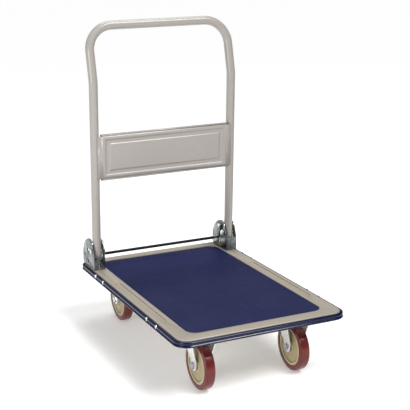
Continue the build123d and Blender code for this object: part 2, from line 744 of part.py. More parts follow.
# ================================================================ lock bar
arm_outer = inner_face - arm_gap
arm_inner = arm_outer - arm_sheet
for side, s in sides:
    with BuildPart() as lock_arm:
        with BuildSketch(Plane.YZ.offset(min(s * arm_outer, s * arm_inner))):
            with BuildLine():
                CenterArc((bail_y, bail_z), rivet_dia, 0, 360)
                CenterArc((pin_y, pin_z), pin_dia * 0.9, 0, 360)
                CenterArc((foot_y, foot_z), foot_rod_dia, 0, 360)
            make_hull()
            with Locations((bail_y, bail_z)):
                Circle(rivet_dia / 2 + run, mode=Mode.SUBTRACT)
            with Locations((pin_y, pin_z)):
                Circle(pin_dia / 2, mode=Mode.SUBTRACT)
            with Locations((foot_y, foot_z)):
                Circle(foot_rod_dia / 2, mode=Mode.SUBTRACT)
        extrude(amount=arm_sheet)
    finish(lock_arm, f"lock_arm_{side}")

    with BuildPart() as lock_pin:
        pin_end = upright_x + ear_gap / 2 + ear_sheet + 1.5
        with BuildSketch(Plane.YZ.offset(min(s * pin_end, s * arm_inner))):
            with Locations((pin_y, pin_z)):
                Circle(pin_dia / 2)
        extrude(amount=pin_end - arm_inner)
    finish(lock_pin, f"lock_pin_{side}")

with BuildPart() as foot_rod:
    with BuildSketch(Plane.YZ.offset(-arm_outer)):
        with Locations((foot_y, foot_z)):
            Circle(foot_rod_dia / 2)
    extrude(amount=2 * arm_outer)
finish(foot_rod, "foot_rod")

with BuildPart() as foot_sleeve:
    with BuildSketch(Plane.YZ.offset(-(arm_inner - foot_sleeve_inset))):
        with Locations((foot_y, foot_z)):
            Circle(foot_sleeve_dia / 2)
            Circle(foot_rod_dia / 2, mode=Mode.SUBTRACT)
    extrude(amount=2 * (arm_inner - foot_sleeve_inset))
finish(foot_sleeve, "foot_sleeve")

with BuildPart() as lock_bar_rivets:
    for side, s in sides:
        gap_face = s * (inner_face + ear_sheet)
        outward = Plane(origin=(gap_face, bail_y, bail_z), z_dir=(s, 0, 0))
        inward = Plane(origin=(gap_face, bail_y, bail_z), z_dir=(-s, 0, 0))
        with BuildSketch(outward):
            Circle(rivet_dia * 0.8)
        extrude(amount=1.5)
        with BuildSketch(inward):
            Circle(rivet_dia / 2)
        extrude(amount=ear_sheet + arm_gap + arm_sheet + free)
        with BuildSketch(inward.offset(ear_sheet)):
            Circle(rivet_dia * 0.8)
        extrude(amount=arm_gap - free)
        with BuildSketch(inward.offset(ear_sheet + arm_gap + arm_sheet + free)):
            Circle(rivet_dia * 0.8)
        extrude(amount=2)
finish(lock_bar_rivets, "lock_bar_rivets")
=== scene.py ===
import json
from math import cos, pi, radians, sin

import bmesh
import bpy
from mathutils import Matrix, Vector


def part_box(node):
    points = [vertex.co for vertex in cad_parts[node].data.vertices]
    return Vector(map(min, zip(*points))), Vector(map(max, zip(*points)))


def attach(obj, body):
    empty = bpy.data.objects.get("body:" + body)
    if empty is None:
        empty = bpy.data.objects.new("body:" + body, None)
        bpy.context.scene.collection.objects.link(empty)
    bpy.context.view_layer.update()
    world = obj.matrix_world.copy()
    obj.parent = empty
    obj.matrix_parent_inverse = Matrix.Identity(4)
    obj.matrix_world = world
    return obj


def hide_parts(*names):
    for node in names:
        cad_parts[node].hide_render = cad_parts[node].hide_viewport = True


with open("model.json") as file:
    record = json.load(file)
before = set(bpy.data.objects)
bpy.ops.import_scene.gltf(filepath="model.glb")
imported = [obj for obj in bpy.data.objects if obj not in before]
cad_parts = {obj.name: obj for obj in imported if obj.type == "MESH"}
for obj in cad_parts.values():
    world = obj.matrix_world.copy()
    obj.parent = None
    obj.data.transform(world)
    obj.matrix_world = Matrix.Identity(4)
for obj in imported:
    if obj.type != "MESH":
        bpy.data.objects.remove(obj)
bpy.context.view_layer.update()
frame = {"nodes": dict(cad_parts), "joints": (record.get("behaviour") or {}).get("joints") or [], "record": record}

mm = 0.001
scene = bpy.context.scene


# ---------------------------------------------------------------- shader groups shared by the finishes
def open_group(name, inputs, outputs):
    """A shader node group with these named sockets, and its tree, input and output nodes."""
    tree = bpy.data.node_groups.new(name, "ShaderNodeTree")
    for label, kind, start in inputs:
        socket = tree.interface.new_socket(name=label, in_out="INPUT", socket_type=kind)
        socket.default_value = start
    for label, kind in outputs:
        tree.interface.new_socket(name=label, in_out="OUTPUT", socket_type=kind)
    return tree, tree.nodes.new("NodeGroupInput"), tree.nodes.new("NodeGroupOutput")


def noise(tree, vector, scale, detail, label="Noise"):
    """Noise texture on this vector; scale may be a number or a socket."""
    node = tree.nodes.new("ShaderNodeTexNoise")
    node.label = label
    node.inputs["Detail"].default_value = detail
    tree.links.new(vector, node.inputs["Vector"])
    if isinstance(scale, (int, float)):
        node.inputs["Scale"].default_value = scale
    else:
        tree.links.new(scale, node.inputs["Scale"])
    return node.outputs["Fac"]


def sums(tree, operation, first, second):
    """One math step between sockets or numbers."""
    node = tree.nodes.new("ShaderNodeMath")
    node.operation = operation
    for slot, value in zip(node.inputs, (first, second)):
        if isinstance(value, (int, float)):
            slot.default_value = value
        else:
            tree.links.new(value, slot)
    return node.outputs[0]


def remap(tree, value, low, high, to_low=0.0, to_high=1.0):
    """A value brought from one range to another and clamped there."""
    node = tree.nodes.new("ShaderNodeMapRange")
    tree.links.new(value, node.inputs["Value"])
    for name, number in zip(("From Min", "From Max", "To Min", "To Max"), (low, high, to_low, to_high)):
        if isinstance(number, (int, float)):
            node.inputs[name].default_value = number
        else:
            tree.links.new(number, node.inputs[name])
    return node.outputs["Result"]


def blend_colors(tree, factor, first, second):
    """Two colours mixed by a factor socket."""
    node = tree.nodes.new("ShaderNodeMix")
    node.data_type = "RGBA"
    tree.links.new(factor, node.inputs["Factor"])
    for slot, value in ((node.inputs[6], first), (node.inputs[7], second)):
        if isinstance(value, tuple):
            slot.default_value = value
        else:
            tree.links.new(value, slot)
    return node.outputs[2]


def own_place(tree):
    """The piece's own coordinates, in metres."""
    return tree.nodes.new("ShaderNodeTexCoord").outputs["Object"]


def make_tone_drift():
    """Slow change of colour over a surface, from one batch of paint or plastic to the next."""
    tree, start, end = open_group(
        "tone_drift",
        [("Color", "NodeSocketColor", (0.5, 0.5, 0.5, 1)), ("Drift", "NodeSocketColor", (0.4, 0.4, 0.4, 1)),
         ("Scale", "NodeSocketFloat", 8.0)],
        [("Color", "NodeSocketColor"), ("Mask", "NodeSocketFloat")])
    wide = noise(tree, own_place(tree), start.outputs["Scale"], 4.0, "Slow drift")
    mask = remap(tree, wide, 0.35, 0.68)
    tree.links.new(blend_colors(tree, mask, start.outputs["Color"], start.outputs["Drift"]),
                   end.inputs["Color"])
    tree.links.new(mask, end.inputs["Mask"])
    return tree


def make_fine_grain():
    """Small bumps and uneven gloss: orange peel on paint, the skin of moulded plastic."""
    tree, start, end = open_group(
        "fine_grain",
        [("Scale", "NodeSocketFloat", 700.0), ("Smooth", "NodeSocketFloat", 0.35),
         ("Rough", "NodeSocketFloat", 0.5)],
        [("Roughness", "NodeSocketFloat"), ("Height", "NodeSocketFloat")])
    place = own_place(tree)
    fine = noise(tree, place, start.outputs["Scale"], 2.0, "Skin")
    coarse = noise(tree, place, 14.0, 5.0, "Uneven gloss")
    both = sums(tree, "ADD", sums(tree, "MULTIPLY", fine, 0.35), sums(tree, "MULTIPLY", coarse, 0.65))
    tree.links.new(remap(tree, both, 0.38, 0.64, start.outputs["Smooth"], start.outputs["Rough"]),
                   end.inputs["Roughness"])
    tree.links.new(fine, end.inputs["Height"])
    return tree


def make_edge_rub():
    """Mask of the worn convex edges of a piece."""
    tree, start, end = open_group(
        "edge_rub", [("Amount", "NodeSocketFloat", 1.0)], [("Mask", "NodeSocketFloat")])
    sharp = remap(tree, tree.nodes.new("ShaderNodeNewGeometry").outputs["Pointiness"], 0.52, 0.60)
    broken = remap(tree, noise(tree, own_place(tree), 60.0, 6.0, "Broken rub"), 0.42, 0.66)
    both = sums(tree, "MULTIPLY", sharp, broken)
    tree.links.new(sums(tree, "MULTIPLY", both, start.outputs["Amount"]), end.inputs["Mask"])
    return tree


def make_floor_dust():
    """Mask of dust that is thickest near the floor and in patches."""
    tree, start, end = open_group(
        "floor_dust",
        [("Top", "NodeSocketFloat", 0.13), ("Amount", "NodeSocketFloat", 0.3)],
        [("Mask", "NodeSocketFloat")])
    place = own_place(tree)
    split = tree.nodes.new("ShaderNodeSeparateXYZ")
    tree.links.new(place, split.inputs[0])
    fade = remap(tree, split.outputs["Z"], start.outputs["Top"], 0.0)
    patches = remap(tree, noise(tree, place, 45.0, 8.0, "Patches"), 0.40, 0.70)
    both = sums(tree, "MULTIPLY", fade, patches)
    tree.links.new(sums(tree, "MULTIPLY", both, start.outputs["Amount"]), end.inputs["Mask"])
    return tree


def make_zinc_bloom():
    """Crystal patches and a slight yellow and blue bloom, as on bright zinc plate."""
    tree, start, end = open_group(
        "zinc_bloom",
        [("Color", "NodeSocketColor", (0.6, 0.6, 0.6, 1)), ("Bloom", "NodeSocketColor", (0.5, 0.55, 0.6, 1)),
         ("Scale", "NodeSocketFloat", 180.0)],
        [("Color", "NodeSocketColor"), ("Roughness", "NodeSocketFloat"), ("Height", "NodeSocketFloat")])
    place = own_place(tree)
    cells = tree.nodes.new("ShaderNodeTexVoronoi")
    tree.links.new(place, cells.inputs["Vector"])
    tree.links.new(start.outputs["Scale"], cells.inputs["Scale"])
    split = tree.nodes.new("ShaderNodeSeparateColor")
    tree.links.new(cells.outputs["Color"], split.inputs[0])
    patch = split.outputs[0]
    cloud = remap(tree, noise(tree, place, 26.0, 6.0, "Cloudy bloom"), 0.42, 0.60)
    mask = sums(tree, "ADD", sums(tree, "MULTIPLY", patch, 0.22), sums(tree, "MULTIPLY", cloud, 0.70))
    tree.links.new(blend_colors(tree, mask, start.outputs["Color"], start.outputs["Bloom"]),
                   end.inputs["Color"])
    tree.links.new(remap(tree, mask, 0.05, 0.85, 0.20, 0.38), end.inputs["Roughness"])
    tree.links.new(noise(tree, place, 420.0, 3.0, "Rolled sheet"), end.inputs["Height"])
    return tree


def make_leather_cells():
    """Pressed leather grain of a mat: small rounded cells with fine creases between them."""
    tree, start, end = open_group(
        "leather_cells",
        [("Scale", "NodeSocketFloat", 420.0), ("Smooth", "NodeSocketFloat", 0.5),
         ("Rough", "NodeSocketFloat", 0.7)],
        [("Height", "NodeSocketFloat"), ("Roughness", "NodeSocketFloat"), ("Crease", "NodeSocketFloat")])
    place = own_place(tree)
    cells = tree.nodes.new("ShaderNodeTexVoronoi")
    cells.feature = "DISTANCE_TO_EDGE"
    tree.links.new(place, cells.inputs["Vector"])
    tree.links.new(start.outputs["Scale"], cells.inputs["Scale"])
    crease = remap(tree, cells.outputs["Distance"], 0.0, 0.12, 1.0, 0.0)
    swell = noise(tree, place, 60.0, 4.0, "Swell")
    height = sums(tree, "SUBTRACT", sums(tree, "MULTIPLY", swell, 0.5), sums(tree, "MULTIPLY", crease, 0.5))
    tree.links.new(height, end.inputs["Height"])
    tree.links.new(crease, end.inputs["Crease"])
    tree.links.new(remap(tree, noise(tree, place, 9.0, 6.0, "Polished by loads"), 0.36, 0.66,
                         start.outputs["Smooth"], start.outputs["Rough"]), end.inputs["Roughness"])
    return tree


def make_drag_marks():
    """Mask of thin straight scuffs left by things dragged along the cart."""
    tree, start, end = open_group(
        "drag_marks",
        [("Amount", "NodeSocketFloat", 0.5), ("Length", "NodeSocketFloat", 6.0),
         ("Count", "NodeSocketFloat", 260.0)],
        [("Mask", "NodeSocketFloat")])
    stretch = tree.nodes.new("ShaderNodeMapping")
    stretch.inputs["Rotation"].default_value = (0, 0, radians(7))
    tree.links.new(own_place(tree), stretch.inputs["Vector"])
    size = tree.nodes.new("ShaderNodeCombineXYZ")
    tree.links.new(start.outputs["Count"], size.inputs["X"])
    tree.links.new(start.outputs["Length"], size.inputs["Y"])
    tree.links.new(start.outputs["Count"], size.inputs["Z"])
    tree.links.new(size.outputs[0], stretch.inputs["Scale"])
    lines = remap(tree, noise(tree, stretch.outputs[0], 1.0, 2.0, "Lines"), 0.68, 0.74)
    where = remap(tree, noise(tree, own_place(tree), 7.0, 3.0, "Where"), 0.48, 0.62)
    both = sums(tree, "MULTIPLY", lines, where)
    tree.links.new(sums(tree, "MULTIPLY", both, start.outputs["Amount"]), end.inputs["Mask"])
    return tree


tone_drift = make_tone_drift()
fine_grain = make_fine_grain()
edge_rub = make_edge_rub()
floor_dust = make_floor_dust()
zinc_bloom = make_zinc_bloom()
leather_cells = make_leather_cells()
drag_marks = make_drag_marks()


# ---------------------------------------------------------------- finishes
def place_group(tree, group, **values):
    """The group placed in a material, with its values set by socket name."""
    node = tree.nodes.new("ShaderNodeGroup")
    node.node_tree = group
    node.label = group.name
    for label, value in values.items():
        node.inputs[label].default_value = value
    return node


def open_finish(name, metallic=0.0, specular=0.5, coat=0.0, coat_rough=0.1):
    """A new material, its tree and its Principled shader, with the values that don't vary."""
    finish = bpy.data.materials.new(name)
    finish.use_nodes = True
    tree = finish.node_tree
    shader = tree.nodes["Principled BSDF"]
    shader.inputs["Metallic"].default_value = metallic
    shader.inputs["Specular IOR Level"].default_value = specular
    shader.inputs["Coat Weight"].default_value = coat
    shader.inputs["Coat Roughness"].default_value = coat_rough
    return finish, tree, shader


def lay_bump(tree, shader, height, strength, depth):
    """A bump on the shader from a height value."""
    bump = tree.nodes.new("ShaderNodeBump")
    bump.inputs["Strength"].default_value = strength
    bump.inputs["Distance"].default_value = depth
    tree.links.new(height, bump.inputs["Height"])
    tree.links.new(bump.outputs["Normal"], shader.inputs["Normal"])


def powder_coat(name, color, drift, rub_color, smooth=0.27, rough=0.34, marks=0.4, worn_edges=0.55):
    """Powder coat on steel: soft orange peel, slow change of tone, scuffs and rubbed edges."""
    finish, tree, shader = open_finish(name, coat=0.25, coat_rough=0.14)
    tone = place_group(tree, tone_drift, Color=color, Drift=drift, Scale=5.0)
    peel = place_group(tree, fine_grain, Scale=1100.0, Smooth=smooth, Rough=rough)
    rub = place_group(tree, edge_rub, Amount=worn_edges)
    drag = place_group(tree, drag_marks, Amount=marks)
    worn = blend_colors(tree, rub.outputs["Mask"], tone.outputs["Color"], rub_color)
    scuffed = blend_colors(tree, drag.outputs["Mask"], worn, (0.22, 0.19, 0.16, 1))
    tree.links.new(scuffed, shader.inputs["Base Color"])
    tree.links.new(peel.outputs["Roughness"], shader.inputs["Roughness"])
    lay_bump(tree, shader, peel.outputs["Height"], 0.03, 0.0003)
    return finish


def zinc_plate(name, color, bloom, scale, bump=0.10, metallic=1.0):
    """Bright zinc plate with crystal patches and a cloudy bloom."""
    finish, tree, shader = open_finish(name, metallic=metallic)
    plate = place_group(tree, zinc_bloom, Color=color, Bloom=bloom, Scale=scale)
    tree.links.new(plate.outputs["Color"], shader.inputs["Base Color"])
    tree.links.new(plate.outputs["Roughness"], shader.inputs["Roughness"])
    lay_bump(tree, shader, plate.outputs["Height"], bump, 0.0004)
    return finish


def moulded(name, color, drift, smooth, rough, grain=900.0, bump=0.12, dust=0.0, dust_top=0.13,
            specular=0.5):
    """Moulded plastic, rubber or polyurethane with a fine skin, a drift of tone and floor dust."""
    finish, tree, shader = open_finish(name, specular=specular)
    tone = place_group(tree, tone_drift, Color=color, Drift=drift, Scale=16.0)
    skin = place_group(tree, fine_grain, Scale=grain, Smooth=smooth, Rough=rough)
    last = tone.outputs["Color"]
    if dust:
        settled = place_group(tree, floor_dust, Top=dust_top, Amount=dust)
        last = blend_colors(tree, settled.outputs["Mask"], last, (0.42, 0.38, 0.33, 1))
    tree.links.new(last, shader.inputs["Base Color"])
    tree.links.new(skin.outputs["Roughness"], shader.inputs["Roughness"])
    lay_bump(tree, shader, skin.outputs["Height"], bump, 0.0004)
    return finish


def mat_rubber():
    """Navy rubber mat with a pressed leather grain, dusty in its creases and polished by loads."""
    finish, tree, shader = open_finish("navy_mat", specular=0.14)
    tone = place_group(tree, tone_drift, Color=(0.011, 0.015, 0.066, 1), Drift=(0.014, 0.018, 0.078, 1),
                       Scale=6.0)
    grain = place_group(tree, leather_cells, Scale=430.0, Smooth=0.42, Rough=0.60)
    drag = place_group(tree, drag_marks, Amount=0.25, Count=180.0)
    dusty = blend_colors(tree, sums(tree, "MULTIPLY", grain.outputs["Crease"], 0.25),
                         tone.outputs["Color"], (0.012, 0.018, 0.075, 1))
    marked = blend_colors(tree, drag.outputs["Mask"], dusty, (0.10, 0.12, 0.24, 1))
    tree.links.new(marked, shader.inputs["Base Color"])
    tree.links.new(grain.outputs["Roughness"], shader.inputs["Roughness"])
    lay_bump(tree, shader, grain.outputs["Height"], 0.22, 0.0004)
    return finish


platform_paint = powder_coat("platform_paint", (0.43, 0.385, 0.315, 1), (0.405, 0.36, 0.295, 1),
                             (0.62, 0.57, 0.50, 1))
handle_paint = powder_coat("handle_paint", (0.42, 0.39, 0.36, 1), (0.40, 0.37, 0.34, 1),
                           (0.60, 0.56, 0.50, 1), marks=0.1, worn_edges=0.05)
mat_finish = mat_rubber()
bumper_pvc = moulded("bumper_pvc", (0.004, 0.007, 0.040, 1), (0.006, 0.009, 0.050, 1), 0.10, 0.17,
                     grain=500.0, bump=0.02, specular=0.36)
sheet_zinc = zinc_plate("sheet_zinc", (0.25, 0.27, 0.275, 1), (0.095, 0.11, 0.115, 1), 200.0, 0.14)
fork_zinc = zinc_plate("fork_zinc", (0.90, 0.91, 0.92, 1), (0.84, 0.855, 0.865, 1), 240.0, 0.03, 0.62)
bolt_zinc = zinc_plate("bolt_zinc", (0.78, 0.79, 0.80, 1), (0.62, 0.64, 0.62, 1), 420.0, 0.05)
ball_steel = zinc_plate("ball_steel", (0.55, 0.55, 0.56, 1), (0.48, 0.48, 0.50, 1), 90.0, 0.02)
red_tread = moulded("red_tread", (0.150, 0.012, 0.011, 1), (0.128, 0.010, 0.009, 1), 0.17, 0.28,
                    grain=400.0, bump=0.03, dust=0.10, dust_top=0.03, specular=0.5)
hub_plastic = moulded("hub_plastic", (0.42, 0.35, 0.185, 1), (0.37, 0.31, 0.16, 1), 0.30, 0.46,
                      grain=650.0, bump=0.08, dust=0.12, dust_top=0.10)
rim_plastic = moulded("rim_plastic", (0.56, 0.49, 0.31, 1), (0.50, 0.43, 0.27, 1), 0.28, 0.42,
                      grain=650.0, bump=0.06)
sleeve_black = moulded("sleeve_black", (0.005, 0.005, 0.005, 1), (0.008, 0.008, 0.008, 1), 0.42, 0.62,
                       grain=420.0, bump=0.10, specular=0.2)
bush_nylon = moulded("bush_nylon", (0.68, 0.66, 0.58, 1), (0.62, 0.60, 0.52, 1), 0.32, 0.48)

finish_of_slot = {
    "deck_paint": platform_paint, "handle_paint": handle_paint, "mat_rubber": mat_finish,
    "bumper_pvc": bumper_pvc, "bracket_zinc": sheet_zinc, "fastener_zinc": bolt_zinc,
    "bearing_steel": ball_steel, "tread_polyurethane": red_tread, "hub_plastic": hub_plastic,
    "sleeve_plastic": sleeve_black, "bush_plastic": bush_nylon,
}
slot_of_node = {part["node"]: part["material_slot"] for part in frame["record"]["subparts"]}
body_of_node = {node: body for body, nodes in frame["record"]["behaviour"]["bodies"].items()
                for node in nodes}
for node, shown in frame["nodes"].items():
    shown.data.materials.clear()
    shown.data.materials.append(finish_of_slot[slot_of_node[node]])


# ---------------------------------------------------------------- tools for new pieces
def settle(name, bm, node, also=(), finish=None, angle=35, flip=True):
    """Turns a bmesh into a piece that stands for the node and rides on its body."""
    bmesh.ops.remove_doubles(bm, verts=bm.verts, dist=0.01 * mm)
    if flip:
        bmesh.ops.recalc_face_normals(bm, faces=bm.faces)
    mesh = bpy.data.meshes.new(name)
    bm.to_mesh(mesh)
    bm.free()
    mesh.shade_smooth()
    mesh.set_sharp_from_angle(angle=radians(angle))
    mesh.materials.append(finish or finish_of_slot[slot_of_node[node]])
    piece = bpy.data.objects.new(name, mesh)
    scene.collection.objects.link(piece)
    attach(piece, body_of_node[node])
    nodes = also if isinstance(also, tuple) else (also,)
    if nodes:
        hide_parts(*nodes)
    return piece


def draw(bm, points, close=False):
    """Vertices and the edges between them, from points in millimetres."""
    verts = [bm.verts.new(Vector(p) * mm) for p in points]
    pairs = list(zip(verts, verts[1:]))
    if close:
        pairs.append((verts[-1], verts[0]))
    return verts, [bm.edges.new(pair) for pair in pairs]


def carry(bm, verts, edges, move):
    """Extrudes a profile along a straight run, and returns its far end."""
    grown = bmesh.ops.extrude_edge_only(bm, edges=edges)["geom"]
    far = [g for g in grown if isinstance(g, bmesh.types.BMVert)]
    bmesh.ops.translate(bm, verts=far, vec=Vector(move) * mm)
    ends = set(far)
    rim = [g for g in grown if isinstance(g, bmesh.types.BMEdge) and set(g.verts) <= ends]
    return far, rim


def turn(bm, verts, edges, centre, axis, angle, steps):
    """Spins a profile about a centre, and returns its far end."""
    last = bmesh.ops.spin(bm, geom=verts + edges, cent=Vector(centre) * mm, axis=axis,
                          angle=angle, steps=steps, use_duplicate=False)["geom_last"]
    return ([g for g in last if isinstance(g, bmesh.types.BMVert)],
            [g for g in last if isinstance(g, bmesh.types.BMEdge)])


def run_round(bm, points, half_x, half_y, corner, steps=14, close=True):
    """Carries a profile of (in from the outline, height) points once round a rounded outline."""
    end = draw(bm, [(half_x - inset, corner - half_y, z) for inset, z in points], close)
    x, y = half_x - corner, half_y - corner
    for cx, cy, move in ((x, y, (0, 2 * y, 0)), (-x, y, (-2 * x, 0, 0)),
                         (-x, -y, (0, -2 * y, 0)), (x, -y, (2 * x, 0, 0))):
        end = carry(bm, *end, move)
        end = turn(bm, *end, (cx, cy, 0), (0, 0, 1), pi / 2, steps)


def revolve(bm, points, centre, steps=72, close=True):
    """Spins a profile of (along, radius) points once round a line along X through the centre."""
    cx, cy, cz = centre
    verts, edges = draw(bm, [(cx + along, cy, cz + r) for along, r in points], close)
    bmesh.ops.spin(bm, geom=verts + edges, cent=Vector(centre) * mm, axis=(1, 0, 0), angle=2 * pi,
                   steps=steps, use_merge=True, use_duplicate=False)


def middle(node):
    """Centre of a node's box, in millimetres."""
    low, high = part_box(node)
    return (Vector(low) + Vector(high)) / (2 * mm)


def mirrored(points):
    """A profile of (along, radius) points and its mirror image, in one run."""
    return points + [(-along, r) for along, r in reversed(points)]


def softened(node, width, finish=None, segments=2, angle=32):
    """A copy of a pressed or cut node with its edges rounded over by this many millimetres."""
    bm = bmesh.new()
    bm.from_mesh(frame["nodes"][node].data)
    bmesh.ops.remove_doubles(bm, verts=bm.verts, dist=0.01 * mm)
    bmesh.ops.dissolve_limit(bm, angle_limit=radians(0.6), verts=bm.verts, edges=bm.edges)
    sharp = [e for e in bm.edges if len(e.link_faces) == 2 and e.calc_face_angle(0) > radians(angle)]
    bmesh.ops.bevel(bm, geom=sharp, offset=width * mm, offset_type="OFFSET", segments=segments,
                    profile=0.5, affect="EDGES", clamp_overlap=True, material=-1)
    return settle(f"{node}_skin", bm, node, node, finish, flip=False)


# ---------------------------------------------------------------- platform
bumper_low, bumper_high = (Vector(corner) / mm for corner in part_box("bumper"))
mat_low, mat_high = (Vector(corner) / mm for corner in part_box("deck_mat"))

# soft bumper: a broad upper band, a groove and a lower bead, hooked in under the platform's skirt
bm = bmesh.new()
top, low = bumper_high.z, bumper_low.z
run_round(bm, [
    (9, top - 0.8), (8.4, top - 0.2), (7, top), (4.8, top - 0.1), (2.8, top - 0.8), (1.5, top - 2.0),
    (0.9, top - 3.4), (0.8, top - 4.8), (0.8, top - 6.6), (1.1, top - 7.4), (2.4, top - 7.9),
    (3.1, top - 8.2), (3.1, top - 8.7), (2.5, top - 9.3), (1.6, top - 10.3), (0.6, top - 11.7),
    (0.1, top - 12.6), (0.0, top - 13.4), (0.3, top - 14.4), (1.4, top - 15.2), (3.2, top - 15.6), (5.5, low),
    (16.6, low), (17.0, low + 0.6), (17.0, low + 1.8), (16.4, low + 2.4), (9.0, low + 2.5),
], bumper_high.x, bumper_high.y, 40)
settle("bumper_strip", bm, "bumper", "bumper", angle=60)



def loose_boxes(node):
    """Low and high corners of each separate solid of a node, in millimetres."""
    bm = bmesh.new()
    bm.from_mesh(frame["nodes"][node].data)
    bmesh.ops.remove_doubles(bm, verts=bm.verts, dist=0.01 * mm)
    boxes = []
    for seed in bm.verts:
        if seed.tag:
            continue
        seed.tag = True
        waiting, found = [seed], []
        while waiting:
            vert = waiting.pop()
            found.append(vert.co / mm)
            for edge in vert.link_edges:
                other = edge.other_vert(vert)
                if not other.tag:
                    other.tag = True
                    waiting.append(other)
        boxes.append([Vector([pick(spot[i] for spot in found) for i in range(3)]) for pick in (min, max)])
    bm.free()
    return boxes


# screws: pan heads with a small recess, seated in the bumper's upper band
bm = bmesh.new()
for low_corner, high_corner in loose_boxes("bumper_screws"):
    spot = (low_corner + high_corner) / 2
    on_side = bumper_high.x - abs(spot.x) < bumper_high.y - abs(spot.y)
    out = Vector((spot.x, 0, 0) if on_side else (0, spot.y, 0)).normalized()
    seat = out * (bumper_high.x - 0.9 if on_side else bumper_high.y - 0.9)
    seat += Vector((0, spot.y, spot.z) if on_side else (spot.x, 0, spot.z))
    first = len(bm.verts)
    revolve(bm, [(-2.0, 5.0), (0.2, 5.0), (0.6, 4.4), (0.85, 3.0), (0.88, 1.3), (0.3, 1.0), (0.3, 0.0)],
            (0, 0, 0), 24, close=False)
    bm.verts.ensure_lookup_table()
    place_head = out.to_track_quat("X", "Z").to_matrix().to_4x4()
    place_head.translation = seat * mm
    bmesh.ops.transform(bm, verts=bm.verts[first:], matrix=place_head)
settle("bumper_screw_heads", bm, "bumper_screws", "bumper_screws", angle=40)

# mat: a rounded edge with a shallow pressed line inside it, and a flat field
bm = bmesh.new()
rim_top, rim_low = mat_high.z, mat_low.z
run_round(bm, [
    (0.0, rim_low), (0.0, rim_top - 0.8), (0.25, rim_top - 0.25), (0.8, rim_top), (6.0, rim_top),
    (6.4, rim_top - 0.3), (7.0, rim_top - 0.3), (7.4, rim_top), (12.0, rim_top),
], mat_high.x, mat_high.y, 30, close=False)
bmesh.ops.remove_doubles(bm, verts=bm.verts, dist=0.01 * mm)
for edge_z in (rim_top, rim_low):
    loop = [e for e in bm.edges if e.is_boundary and abs(e.verts[0].co.z - edge_z * mm) < 0.01 * mm]
    bmesh.ops.contextual_create(bm, geom=loop)
settle("mat_field", bm, "deck_mat", "deck_mat")

# ---------------------------------------------------------------- wheels
for place in ("front_left", "front_right", "rear_left", "rear_right"):
    centre = middle(f"tyre_{place}")
    tyre_low, tyre_high = (Vector(corner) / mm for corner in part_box(f"tyre_{place}"))
    radius = (tyre_high.z - tyre_low.z) / 2
    half = (tyre_high.x - tyre_low.x) / 2
    inner = 51.0
    bm = bmesh.new()
    revolve(bm, mirrored([
        (-half + 0.6, inner), (-half, inner + 0.8), (-half, inner + 3.2), (-half + 0.35, inner + 3.9),
        (-half + 0.35, radius - 4.2), (-half + 0.9, radius - 2.4), (-half + 2.0, radius - 0.9),
        (-half + 3.6, radius - 0.2), (-half + 6.0, radius - 0.02),
        (-0.6, radius), (-0.3, radius),
    ]), centre, 96)
    settle(f"tread_{place}", bm, f"tyre_{place}", f"tyre_{place}", angle=40)
    bm = bmesh.new()
    revolve(bm, mirrored([
        (-14.4, 11.5), (-14.5, 15.2), (-14.5, 17.0), (-14.0, 17.8), (-11.6, 19.0), (-11.4, 20.0),
        (-11.4, 40.8), (-11.0, 41.5), (-8.4, 41.7), (-8.4, 43.5), (-11.6, 43.7), (-12.4, 44.2),
        (-12.5, 45.0), (-12.5, 49.8), (-12.2, 50.6), (-11.6, 51.0),
    ]), centre, 96)
    wheel_centre = settle(f"wheel_centre_{place}", bm, f"hub_{place}", f"hub_{place}", angle=38)
    wheel_centre.data.materials.append(rim_plastic)
    for face in wheel_centre.data.polygons:
        away = face.center - centre * mm
        face.material_index = int(43.8 * mm < Vector((away.y, away.z)).length < 50.8 * mm)

# ---------------------------------------------------------------- fork ribs
def leg_rib(name, node, x, y, low, knee, shoulder, leg, crown):
    """Two pressed ribs down the outside of each leg of a fork, from under the crown to above the axle."""
    rib_reach, rib_proud, rib_half = 8.0, 1.3, 2.6
    bm = bmesh.new()
    lean_out = (crown - leg) / (shoulder - knee)
    for side in (-1, 1):
        for across in (-rib_reach, rib_reach):
            route = [(leg - 0.3, low, 0.2), (leg, low + 3, 1.0), (leg, knee - 2, 1.0),
                     (leg + 0.8, knee + 2, 1.0),
                     (leg + lean_out * (shoulder - 12 - knee), shoulder - 12, 1.0),
                     (leg + lean_out * (shoulder - 6 - knee) - 0.6, shoulder - 6, 0.2)]
            rows = []
            for out, z, grow in route:
                ring = []
                for step in range(7):
                    turn_by = pi * step / 6
                    ring.append((x + side * (out + rib_proud * grow * sin(turn_by)),
                                 y + across * (0.55 + 0.45 * (z - low) / (shoulder - low))
                                 + rib_half * grow * cos(turn_by), z))
                rows.append(draw(bm, ring)[1])
            for first, second in zip(rows, rows[1:]):
                bmesh.ops.bridge_loops(bm, edges=first + second)
    return settle(name, bm, node, finish=fork_zinc, angle=50)


# ---------------------------------------------------------------- handle panel
fold_joint = next(joint for joint in frame["joints"] if joint["name"] == "handle_fold")
pivot = Vector(fold_joint["pos_m"]) / mm
lean = radians(3.0)
handle_frame = Matrix(((1, 0, 0), (0, -sin(lean), -cos(lean)), (0, cos(lean), -sin(lean)))).to_4x4()
handle_frame.translation = pivot * mm


